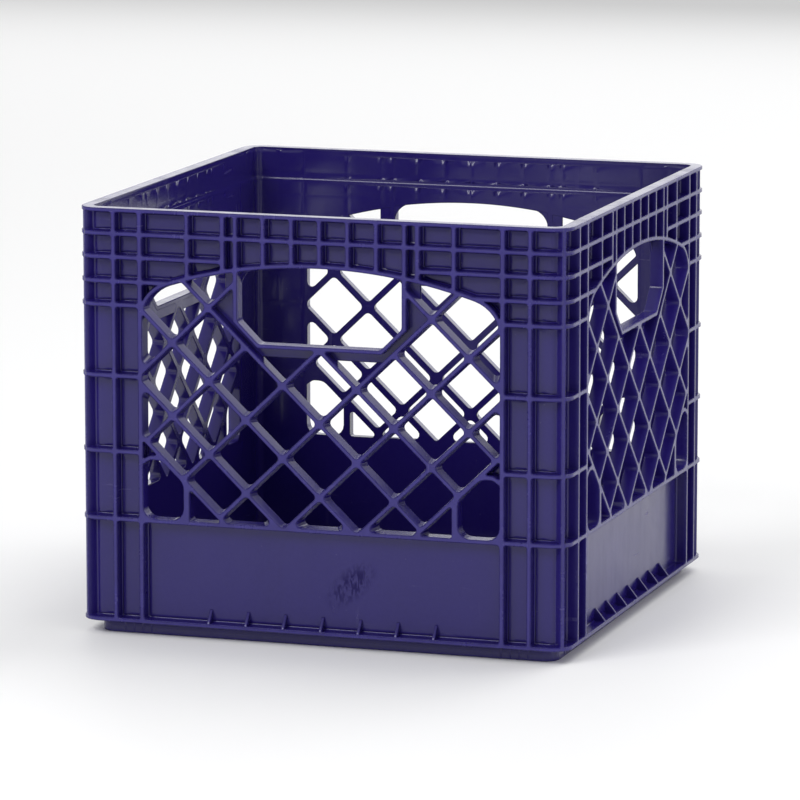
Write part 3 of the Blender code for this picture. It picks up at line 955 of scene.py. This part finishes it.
def make_floor():
    """Floor plate with a coved edge and a grid of ribs."""
    low, top = FOOT - FLOOR_DEEP, FOOT + FLOOR_PLATE
    build = Builder(lambda x, y, d: (x, y, low + d))
    inner, outer = FLOOR_IN, FLOOR_OUT
    d_slab, d_top = FOOT - low, top - low
    # half width, corner radius and height: frame of the grid, underside, edge, cove, upper side
    rows = [(inner - 0.5, 1.0, 0.0), (inner - 0.15, 1.2, 0.15), (inner, 1.4, 0.5),
            (inner, 1.4, d_slab - 1.0), (inner + 0.3, 1.6, d_slab - 0.3),
            (inner + 1.0, 2.0, d_slab), (outer, 5.2, d_slab), (outer, 5.2, d_top + 2.5),
            (outer - 0.9, 4.6, d_top + 1.2), (outer - 1.8, 4.2, d_top + 0.35),
            (outer - 3.0, 3.6, d_top)]
    outline = [(square_loop(h, r), d) for h, r, d in rows]
    rings = [build.ring(loop, d, 0.0) for loop, d in outline]
    for a, b in zip(rings, rings[1:]):
        build.loft(a, b)
    pitch = (2 * inner - FLOOR_RIB) / FLOOR_CELLS
    hole = [(-0.45, 0.0), (-0.13, 0.13), (0.0, 0.45), (-0.05, d_top - 0.6),
            (-0.25, d_top - 0.18), (-0.65, d_top)]              # inset and height
    front, back = [], []
    for i in range(FLOOR_CELLS):
        for j in range(FLOOR_CELLS):
            x = -inner + FLOOR_RIB + i * pitch
            y = -inner + FLOOR_RIB + j * pitch
            cell = Cell(rect(x, y, x + pitch - FLOOR_RIB, y + pitch - FLOOR_RIB), 2.2)
            loops = [(cell.loop(k, 0.0), d) for k, d in hole]
            made = [build.ring(loop, d, 0.0) for loop, d in loops]
            for a, b in zip(made, made[1:]):
                build.loft(a, b, flip=True)
            front.append((made[0], loops[0][0]))
            back.append((made[-1], loops[-1][0]))
    build.fill((rings[0], outline[0][0]), front, 0.0)
    build.fill((rings[-1], outline[-1][0]), back, d_top, flip=True)
    return finish_piece(build.object("floor", PLASTIC), "floor_grid")


make_foot()
make_floor()


# ---- stage, light and camera -----------------------------------------------------------------
def stage_floor():
    mat = bpy.data.materials.new("studio_floor")
    mat.use_nodes = True
    nt = mat.node_tree
    bsdf = nt.nodes["Principled BSDF"]
    tex = nt.nodes.new("ShaderNodeTexNoise")
    tex.inputs["Scale"].default_value = 3.0
    span = nt.nodes.new("ShaderNodeMapRange")
    span.inputs["To Min"].default_value, span.inputs["To Max"].default_value = 0.55, 0.7
    nt.links.new(tex.outputs["Fac"], span.inputs["Value"])
    nt.links.new(span.outputs["Result"], bsdf.inputs["Roughness"])
    bsdf.inputs["Base Color"].default_value = (0.95, 0.95, 0.953, 1.0)
    mesh = bpy.data.meshes.new("studio_floor")
    mesh.from_pydata([(-6, -6, 0), (6, -6, 0), (6, 6, 0), (-6, 6, 0)], [], [(0, 1, 2, 3)])
    mesh.materials.append(mat)
    obj = bpy.data.objects.new("studio_floor", mesh)
    bpy.context.scene.collection.objects.link(obj)


LIGHT_AIM = (0.0, 0.0, 0.14)
LIGHTS = (                       # name, place, size, watts
    ("key", (-0.75, -1.85, 1.75), (1.2, 1.0), 27.0),
    ("back", (-0.2, 3.4, 1.3), (4.4, 1.7), 23.0),
    ("top", (0.9, 1.2, 2.4), (1.5, 1.5), 20.0),
    ("right", (2.6, 0.6, 1.3), (1.4, 1.4), 8.0),
    ("side", (2.45, -0.8, 0.75), (1.3, 1.4), 3.0),
)
WORLD_STRENGTH = 0.60


def area_light(name, place, size, power):
    data = bpy.data.lights.new(name, 'AREA')
    data.shape = 'RECTANGLE'
    data.size, data.size_y = size
    data.energy = power
    obj = bpy.data.objects.new(name, data)
    obj.location = place
    obj.rotation_euler = (Vector(LIGHT_AIM) - Vector(place)).to_track_quat('-Z', 'Y').to_euler()
    bpy.context.scene.collection.objects.link(obj)


def light():
    world = bpy.data.worlds.new("studio")
    world.use_nodes = True
    bg = world.node_tree.nodes["Background"]
    bg.inputs["Color"].default_value = (1.0, 1.0, 1.0, 1.0)
    bg.inputs["Strength"].default_value = WORLD_STRENGTH
    bpy.context.scene.world = world
    bpy.context.scene.view_settings.view_transform = 'Standard'
    for row in LIGHTS:
        area_light(*row)


def camera():
    data = bpy.data.cameras.new("camera")
    data.sensor_width = 36.0
    data.lens = 250.0
    obj = bpy.data.objects.new("camera", data)
    obj.location = (1.134, -3.455, 0.771)
    aim = Vector((0.0, 0.0, 0.135))
    obj.rotation_euler = (aim - obj.location).to_track_quat('-Z', 'Y').to_euler()
    data.clip_end = 50.0
    bpy.context.scene.collection.objects.link(obj)
    bpy.context.scene.camera = obj


stage_floor()
light()
camera()
